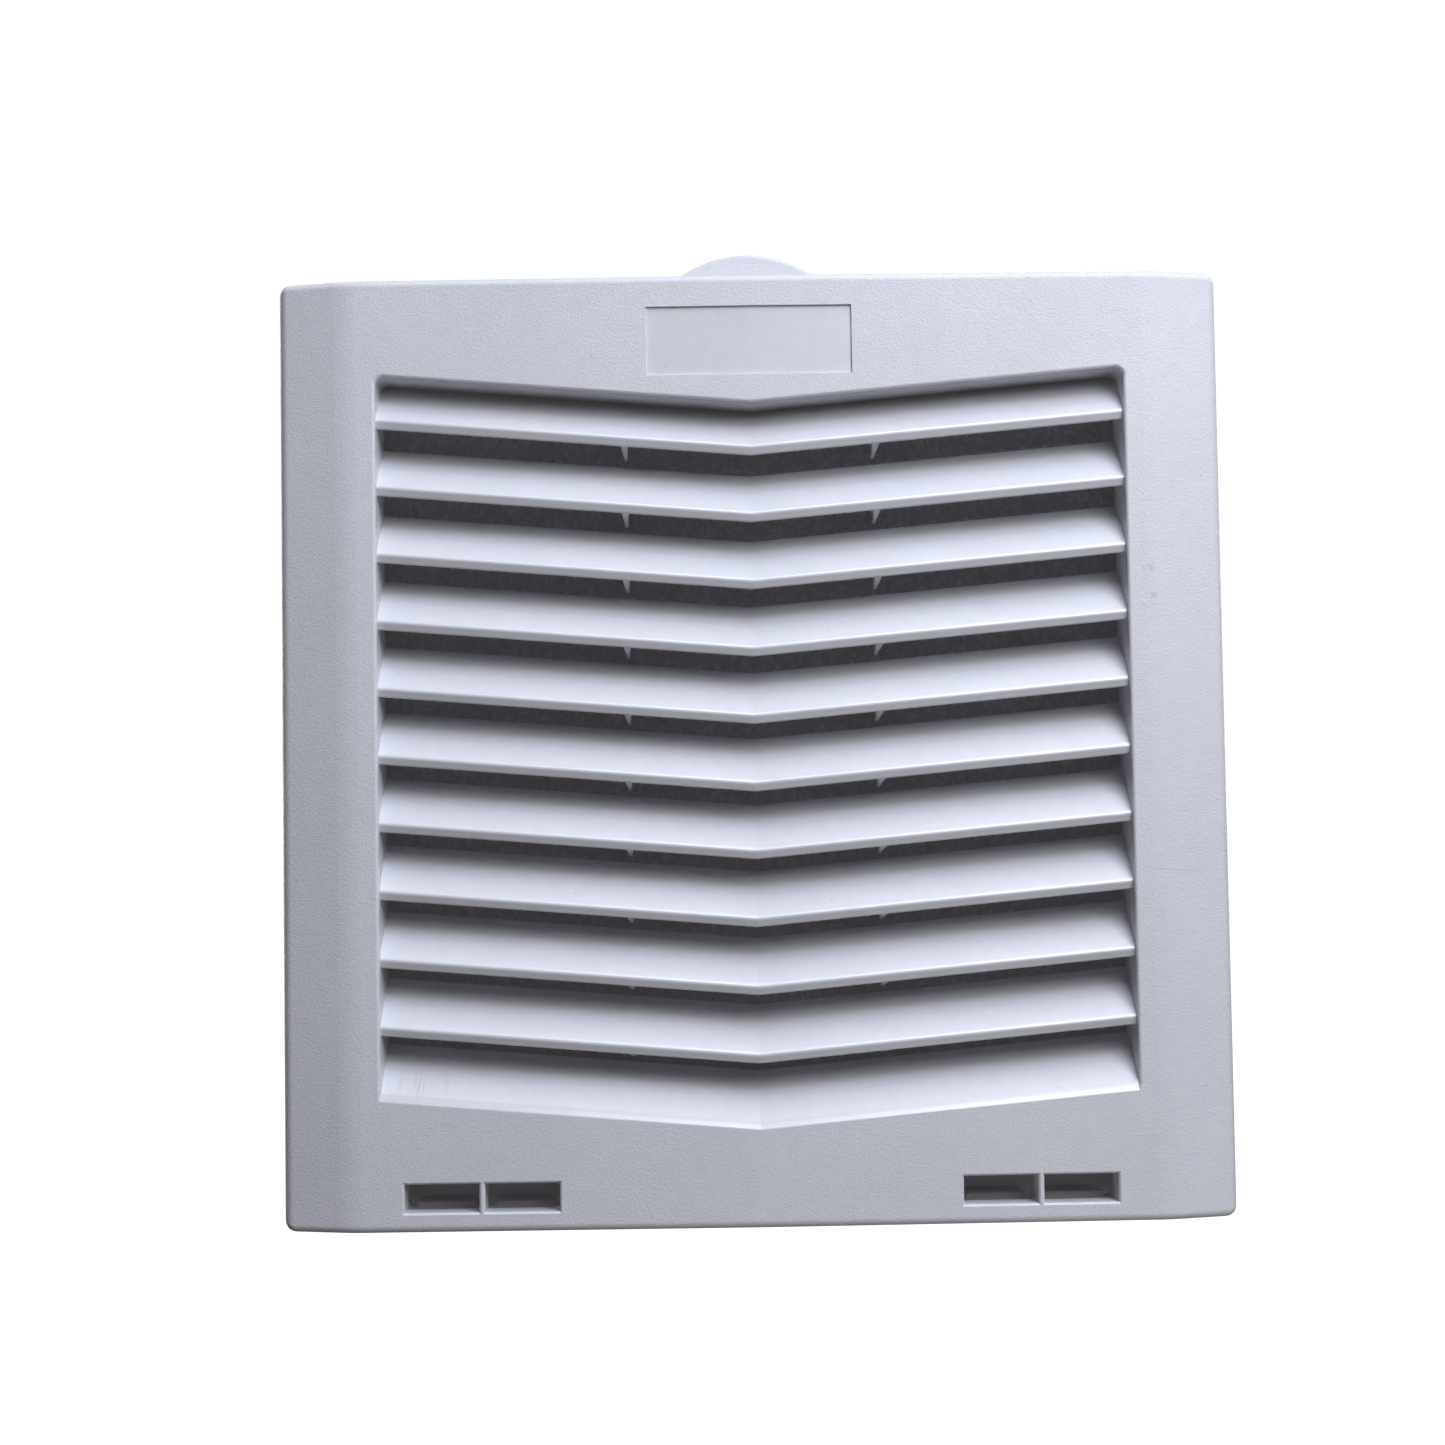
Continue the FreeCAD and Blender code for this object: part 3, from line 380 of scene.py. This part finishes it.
def tube(bm, points, radius, sides):
    """Closed round tube along a list of points."""
    rings = []
    for i, point in enumerate(points):
        ahead = points[min(i + 1, len(points) - 1)]
        behind = points[max(i - 1, 0)]
        along = (ahead - behind).normalized()
        if rings:
            across = (across - along * across.dot(along)).normalized()
        else:
            across = along.orthogonal().normalized()
        other = along.cross(across)
        ring = []
        for k in range(sides):
            angle = 2 * math.pi * k / sides
            ring.append(bm.verts.new(point + radius * (math.cos(angle) * across + math.sin(angle) * other)))
        rings.append(ring)
    for first, second in zip(rings, rings[1:]):
        for k in range(sides):
            bm.faces.new((first[k], first[(k + 1) % sides], second[(k + 1) % sides], second[k]))
    bm.faces.new(rings[0])
    bm.faces.new(rings[-1])


def turn(point, degrees):
    """The point turned round the Y axis, from the top side to another side."""
    angle = math.radians(degrees)
    c, s = round(math.cos(angle)), round(math.sin(angle))
    return Vector((point.x * c + point.z * s, point.y, -point.x * s + point.z * c))


# ---- filter mat ---------------------------------------------------------------
MAT_STEP = 1.5 * MM
MAT_LOFT = 0.45 * MM
MAT_DROOP = 1.4 * MM             # the mat's faces fall away by this much at its edges
MAT_DROOP_REACH = 2.5 * MM
MAT_TINTS = (0.16, 0.158, 0.188), (0.60, 0.595, 0.695)
MAT_RELIEF = 0.35 * MM
FIBRE_COUNT = 2600
FIBRE_JOINTS = 6
FIBRE_STEP = 1.1 * MM
FIBRE_RADIUS = 0.055 * MM
FIBRE_CURL = 0.35
FIBRE_MARGIN = 8 * MM
FIBRE_TINTS = (0.20, 0.198, 0.24), (0.66, 0.65, 0.77)


def mat_height(x, z):
    """Uneven loft of the mat's face, between 0 and 1."""
    broad = noise.noise(Vector((x, z, 0.3)) * 38.0)
    tufts = noise.fractal(Vector((x, z, 1.7)) * 420.0, 0.8, 2.0, 3)
    return min(max(0.5 + 0.28 * broad + 0.22 * tufts, 0.0), 1.0)


def filter_mat():
    """Needled fibre mat with an uneven face and soft rounded edges."""
    low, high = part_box("filter_mat")
    count = round((high.x - low.x) / MAT_STEP)
    bm = bmesh.new()
    faces = []
    for is_rear in (False, True):
        rows = []
        for j in range(count + 1):
            z = low.z + (high.z - low.z) * j / count
            row = []
            for i in range(count + 1):
                x = low.x + (high.x - low.x) * i / count
                edge = min(x - low.x, high.x - x, z - low.z, high.z - z)
                droop = MAT_DROOP * max(0.0, 1.0 - edge / MAT_DROOP_REACH) ** 2
                sink = MAT_LOFT * (1.0 - mat_height(x, z)) + droop
                y = high.y - sink * 0.5 if is_rear else low.y + sink
                row.append(bm.verts.new((x, y, z)))
            rows.append(row)
        for a, b in zip(rows, rows[1:]):
            for i in range(count):
                bm.faces.new((a[i], a[i + 1], b[i + 1], b[i]))
        faces.append(rows)
    front, rear = faces
    rim = [(0, i) for i in range(count)] + [(j, count) for j in range(count)]
    rim += [(count, i) for i in range(count, 0, -1)] + [(j, 0) for j in range(count, 0, -1)]
    for (j, i), (l, k) in zip(rim, rim[1:] + rim[:1]):
        bm.faces.new((front[j][i], front[l][k], rear[l][k], rear[j][i]))
    material = fibre_material("filter_mat_look", *MAT_TINTS, MAT_RELIEF)
    mat = new_piece("filter_mat_felt", mesh_from("filter_mat_felt", bm), material, "frame")
    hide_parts("filter_mat")


def mat_fibres():
    """Loose fibres lying on the front of the mat."""
    low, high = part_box("filter_mat")
    dice = random.Random(7)
    bm = bmesh.new()
    for _ in range(FIBRE_COUNT):
        x = dice.uniform(low.x + FIBRE_MARGIN, high.x - FIBRE_MARGIN)
        z = dice.uniform(low.z + FIBRE_MARGIN, high.z - FIBRE_MARGIN)
        heading = dice.uniform(0, 2 * math.pi)
        curl = dice.uniform(-FIBRE_CURL, FIBRE_CURL)
        points = []
        for _ in range(FIBRE_JOINTS):
            y = low.y + MAT_LOFT * (1.0 - mat_height(x, z)) - 0.03 * MM
            points.append(Vector((x, max(y, low.y + 0.06 * MM), z)))
            x += FIBRE_STEP * math.cos(heading)
            z += FIBRE_STEP * math.sin(heading)
            heading += curl
        tube(bm, points, FIBRE_RADIUS, 3)
    tree = Tree("loose_fibre_look")
    color = tree.mix(tree.noise(90.0, 2.0), *FIBRE_TINTS)
    material = tree.finish(color, 0.8, None, 0.0, 0.2)
    new_piece("filter_mat_fibres", mesh_from("filter_mat_fibres", bm), material, "frame")


# ---- flange gasket ------------------------------------------------------------
GASKET_HOLE_HALF = 111.3 * MM
SCREW_HOLE_HALF = 116.5 * MM
SCREW_HOLE_RADIUS = 2.15 * MM
GASKET_CORNER = 3.0 * MM
GASKET_SECTION = 16              # points round the foam's section
GASKET_SQUARENESS = 0.28         # 1 is an oval section, 0 a sharp rectangle


def square_loop(half, corner, steps, y):
    """Points of a rounded square round the Y axis."""
    points = []
    for quarter in range(4):
        for step in range(steps + 1):
            angle = math.pi / 2 * (quarter + step / steps)
            centre = half - corner
            sx = centre if quarter in (0, 3) else -centre
            sz = centre if quarter in (0, 1) else -centre
            points.append(Vector((sx + corner * math.cos(angle), y, sz + corner * math.sin(angle))))
    return points


def gasket():
    """Foam frame with slightly bulging, softened edges and four punched screw holes."""
    low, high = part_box("flange_gasket")
    bm = bmesh.new()
    rings = []
    middle_y = (low.y + high.y) / 2
    half_y = (high.y - low.y) / 2
    middle = (high.x + GASKET_HOLE_HALF) / 2
    half_width = (high.x - GASKET_HOLE_HALF) / 2
    for k in range(GASKET_SECTION):
        angle = 2 * math.pi * k / GASKET_SECTION
        u = math.copysign(abs(math.cos(angle)) ** GASKET_SQUARENESS, math.cos(angle))
        v = math.copysign(abs(math.sin(angle)) ** GASKET_SQUARENESS, math.sin(angle))
        half = middle + half_width * u
        corner = max(GASKET_CORNER + half_width * (u - 1.0), 0.4 * MM)
        loop = square_loop(half, corner, 6, middle_y + half_y * v)
        rings.append([bm.verts.new(p) for p in loop])
    for first, second in zip(rings, rings[1:] + rings[:1]):
        for i in range(len(first)):
            j = (i + 1) % len(first)
            bm.faces.new((first[i], first[j], second[j], second[i]))
    mesh = mesh_from("gasket_blank", bm)
    blank = bpy.data.objects.new("gasket_blank", mesh)
    bpy.context.scene.collection.objects.link(blank)
    drill = bmesh.new()
    for x in (-1, 1):
        for z in (-1, 1):
            centre = Vector((x * SCREW_HOLE_HALF, 0, z * SCREW_HOLE_HALF))
            tube(drill, [centre + Vector((0, y * MM, 0)) for y in (-8, 4)], SCREW_HOLE_RADIUS, 24)
    cutter = bpy.data.objects.new("gasket_drill", mesh_from("gasket_drill", drill))
    bpy.context.scene.collection.objects.link(cutter)
    cut = blank.modifiers.new("holes", "BOOLEAN")
    cut.operation = "DIFFERENCE"
    cut.solver = "EXACT"
    cut.object = cutter
    shaped = bpy.data.meshes.new_from_object(blank.evaluated_get(bpy.context.evaluated_depsgraph_get()))
    shaped.materials.clear()
    bpy.data.objects.remove(blank)
    bpy.data.objects.remove(cutter)
    foam = new_piece("gasket_foam_frame", shaped, foam_material(), "frame", False)
    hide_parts("flange_gasket")


# ---- springs ------------------------------------------------------------------
SPRING_TURNS = 6
SPRING_WIRE = 0.3 * MM           # radius of the wire
SPRING_STEPS = 20                # points along each turn
SPRING_GROUND = 0.35 * MM        # the end turns are flattened by this much


def tab_springs(material):
    """Two compression springs that shorten as the release tab is pressed."""
    for side in ("left", "right"):
        low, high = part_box("tab_spring_" + side)
        centre = (low + high) / 2
        radius = (high.x - low.x) / 2 - SPRING_WIRE
        bottom, top = low.z + SPRING_WIRE, high.z - SPRING_WIRE
        steps = SPRING_TURNS * SPRING_STEPS
        points = []
        for i in range(steps + 1):
            share = i / steps
            angle = 2 * math.pi * SPRING_TURNS * share
            done = share * SPRING_TURNS
            flat = min(done, SPRING_TURNS - done, 1.0)
            height = bottom + (top - bottom) * share
            lean = (1.0 - flat) * SPRING_GROUND * (1 if share > 0.5 else -1)
            height = min(max(height + lean, bottom), top)
            points.append(Vector((centre.x + radius * math.cos(angle),
                                  centre.y + radius * math.sin(angle), height)))
        bm = bmesh.new()
        tube(bm, points, SPRING_WIRE, 10)
        name = "tab_coil_" + side
        coil = new_piece(name, mesh_from(name, bm), material, "frame")
        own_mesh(coil)
        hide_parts("tab_spring_" + side)


LEAF_HALF = 5.0 * MM
LEAF_THICKNESS = 0.4 * MM
LEAF_BEND = 0.9 * MM             # radius of its two bends
LEAF_BEND_STEPS = 5
LEAF_CLIP_Y = 20.0 * MM          # the clip begins here
LEAF_KNEE_Y = 17.0 * MM          # the free arm begins here
LEAF_LIFT = 1.43 * MM            # rise of the arm from knee to tip
LEAF_ARM_STEPS = 16
LEAF_TIP_TAPER = 0.14            # the last three steps narrow by this share each


def leaf_path():
    """Middle line of the leaf spring on the top side, in the YZ plane: clip, bend, arm, curled tip."""
    low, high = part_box("pawl_spring_top")
    t = LEAF_THICKNESS / 2
    clip_z = high.z - t
    arm_z = low.z + t
    rear_y = high.y - t
    tip_y = low.y
    bend_y = rear_y - LEAF_BEND
    points = [(LEAF_CLIP_Y, clip_z), (bend_y, clip_z)]
    for centre_z, start in ((clip_z - LEAF_BEND, 90), (arm_z + LEAF_BEND, 0)):
        for step in range(1, LEAF_BEND_STEPS + 1):
            angle = math.radians(start - 90 * step / LEAF_BEND_STEPS)
            points.append((bend_y + LEAF_BEND * math.cos(angle), centre_z + LEAF_BEND * math.sin(angle)))
    points.append((LEAF_KNEE_Y, arm_z))
    for step in range(1, LEAF_ARM_STEPS + 1):
        share = step / LEAF_ARM_STEPS
        points.append((LEAF_KNEE_Y + (tip_y - LEAF_KNEE_Y) * share, arm_z + LEAF_LIFT * share))
    return points


def pawl_leaves(material):
    """Bent leaf springs that clip over the collar and follow their pawl at the tip."""
    path = leaf_path()
    half = LEAF_THICKNESS / 2
    for side, degrees in SIDES.items():
        bm = bmesh.new()
        rings = []
        for i, (y, z) in enumerate(path):
            ahead = path[min(i + 1, len(path) - 1)]
            behind = path[max(i - 1, 0)]
            run = Vector((0, ahead[0] - behind[0], ahead[1] - behind[1])).normalized()
            out = Vector((0, -run.z, run.y))
            past_shoulder = max(i - len(path) + 4, 0)
            width = LEAF_HALF * (1.0 - LEAF_TIP_TAPER * past_shoulder)
            ring = []
            for sx, so in ((-1, -1), (1, -1), (1, 1), (-1, 1)):
                corner = Vector((sx * width, y, z)) + out * (so * half)
                ring.append(bm.verts.new(turn(corner, degrees)))
            rings.append(ring)
        for first, second in zip(rings, rings[1:]):
            for k in range(4):
                bm.faces.new((first[k], first[(k + 1) % 4], second[(k + 1) % 4], second[k]))
        bm.faces.new(rings[0])
        bm.faces.new(rings[-1])
        name = "pawl_leaf_" + side
        leaf = new_piece(name, mesh_from(name, bm), material, None, False)
        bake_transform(leaf)
        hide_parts("pawl_spring_" + side)


# ---- carried-over CAD parts ---------------------------------------------------
def paint(node, material):
    """Gives a CAD node a material of this file."""
    mesh = frame["nodes"][node].data
    mesh.materials.clear()
    mesh.materials.append(material)


def paint_cad():
    """Materials for every CAD part that stays visible."""
    moulding = frame_material("frame_plastic_look", FRAME_GREY)
    pawl_look = frame_material("pawl_plastic_look", tuple(c * 0.9 for c in FRAME_GREY))
    pins_x = steel_material("pin_steel_look", (0.56, 0.57, 0.59), (90.0, 3000.0, 3000.0), 0.32)
    pins_z = steel_material("pin_steel_upright_look", (0.56, 0.57, 0.59), (3000.0, 3000.0, 90.0), 0.32)
    zinc = steel_material("zinc_look", (0.62, 0.63, 0.66), (900.0, 900.0, 900.0), 0.38)
    paint("louvre_cover", cover_material())
    paint("release_tab", tab_material())
    paint("mounting_frame", moulding)
    paint("rear_grid", moulding)
    paint("grid_screws", zinc)
    for side in SIDES:
        paint("pawl_" + side, pawl_look)
        paint("pawl_pin_" + side, pins_x if side in ("top", "bottom") else pins_z)
    for side in ("left", "right"):
        paint("hinge_pin_" + side, pins_x)


# ---- studio -------------------------------------------------------------------
FLOOR_Z = -450 * MM
FLOOR_REACH = 8.0
VEIL = (0.0265, 0.0252, 0.0275)   # light that glare from the bright surroundings adds everywhere
DOME_TINT = (1.0, 0.62, 0.38, 1.0)
DOME_STRENGTH = 0.043
CAMERA_PLACE = (-13.7 * MM, -621.3 * MM, -19.3 * MM)
CAMERA_TURN = (92.505, 0.869, -0.452)   # degrees
CAMERA_LENS = 55.28
WHITE = (1.0, 1.0, 1.0)
COOL = (0.71, 0.80, 1.0)

# name, azimuth, elevation, distance, size, power and colour of each light
LIGHTS = (
    ("key", 30, 30, 0.75, 0.4, 3.12, WHITE),
    ("window", 20, 50, 1.5, 0.8, 10.8, COOL),
    ("ceiling", 30, 70, 1.5, 0.8, 8.5, WHITE),
    ("table", 55, -75, 0.5, 0.4, 0.55, WHITE),
    ("rear_left", -140, 10, 1.3, 0.8, 13.0, WHITE),
    ("rear_right", 150, 12, 1.4, 0.8, 8.5, WHITE),
)


def area_light(name, azimuth, elevation, distance, size, power, color):
    """Soft square light aimed at the cover; azimuth 0 is in front and grows to the right."""
    across, up = math.radians(azimuth), math.radians(elevation)
    heading = Vector((math.cos(up) * math.sin(across), -math.cos(up) * math.cos(across), math.sin(up)))
    place = distance * heading
    data = bpy.data.lights.new(name, "AREA")
    data.shape = "SQUARE"
    data.size = size
    data.energy = power
    data.color = color
    light = bpy.data.objects.new(name, data)
    light.location = place
    light.rotation_euler = (-place).to_track_quat("-Z", "Y").to_euler()
    light.visible_camera = False
    bpy.context.scene.collection.objects.link(light)


def world():
    """White backdrop for the camera and a faint warm light from all round for the object."""
    sky = bpy.data.worlds.new("studio")
    bpy.context.scene.world = sky
    sky.use_nodes = True
    nodes, links = sky.node_tree.nodes, sky.node_tree.links
    nodes.clear()
    out = nodes.new("ShaderNodeOutputWorld")
    backdrop = nodes.new("ShaderNodeBackground")
    dome = nodes.new("ShaderNodeBackground")
    dome.inputs["Strength"].default_value = DOME_STRENGTH
    path = nodes.new("ShaderNodeLightPath")
    choose = nodes.new("ShaderNodeMixShader")
    backdrop.inputs["Color"].default_value = (1.0, 1.0, 1.0, 1.0)
    dome.inputs["Color"].default_value = DOME_TINT
    links.new(path.outputs["Is Camera Ray"], choose.inputs["Fac"])
    links.new(dome.outputs[0], choose.inputs[1])
    links.new(backdrop.outputs[0], choose.inputs[2])
    links.new(choose.outputs[0], out.inputs["Surface"])


def floor():
    """Large white floor far below the cover; it throws no light back."""
    bm = bmesh.new()
    r = FLOOR_REACH
    corners = [bm.verts.new((x, y, FLOOR_Z)) for x, y in ((-r, -r), (r, -r), (r, r), (-r, r))]
    bm.faces.new(corners)
    mesh = bpy.data.meshes.new("floor")
    bm.to_mesh(mesh)
    bm.free()
    tree = Tree("floor_look")
    tree.finish(tree.mix(tree.noise(3.0), (0.80, 0.80, 0.81), (0.84, 0.84, 0.85)), 0.9, None, 0.0, 0.1)
    tree.put((1.0, 1.0, 1.0, 1.0), tree.shader.inputs["Emission Color"])
    tree.put(1.0, tree.shader.inputs["Emission Strength"])
    plane = bpy.data.objects.new("floor", mesh)
    plane.visible_diffuse = False
    plane.visible_glossy = False
    mesh.materials.append(tree.material)
    bpy.context.scene.collection.objects.link(plane)


def camera():
    """Camera a little left of centre and below it, tipped slightly up and rolled."""
    data = bpy.data.cameras.new("camera")
    data.sensor_width = 36.0
    data.lens = CAMERA_LENS
    data.clip_start = 0.01
    view = bpy.data.objects.new("camera", data)
    view.location = CAMERA_PLACE
    view.rotation_euler = [math.radians(a) for a in CAMERA_TURN]
    bpy.context.scene.collection.objects.link(view)
    bpy.context.scene.camera = view


def tones():
    """Plain display with a slight veil of glare over everything."""
    view = bpy.context.scene.view_settings
    view.view_transform = "Standard"
    view.use_curve_mapping = True
    view.curve_mapping.black_level = [-v for v in VEIL]
    view.curve_mapping.white_level = [1.0 - v for v in VEIL]
    view.curve_mapping.update()


def studio():
    """Backdrop, floor, lights, camera and display."""
    world()
    floor()
    for light in LIGHTS:
        area_light(*light)
    camera()
    tones()


# ---- whole scene --------------------------------------------------------------
paint_cad()
spring_steel = steel_material("spring_steel_look", (0.50, 0.51, 0.54), (700.0, 700.0, 700.0), 0.34)
tab_springs(spring_steel)
pawl_leaves(spring_steel)
filter_mat()
mat_fibres()
gasket()
studio()
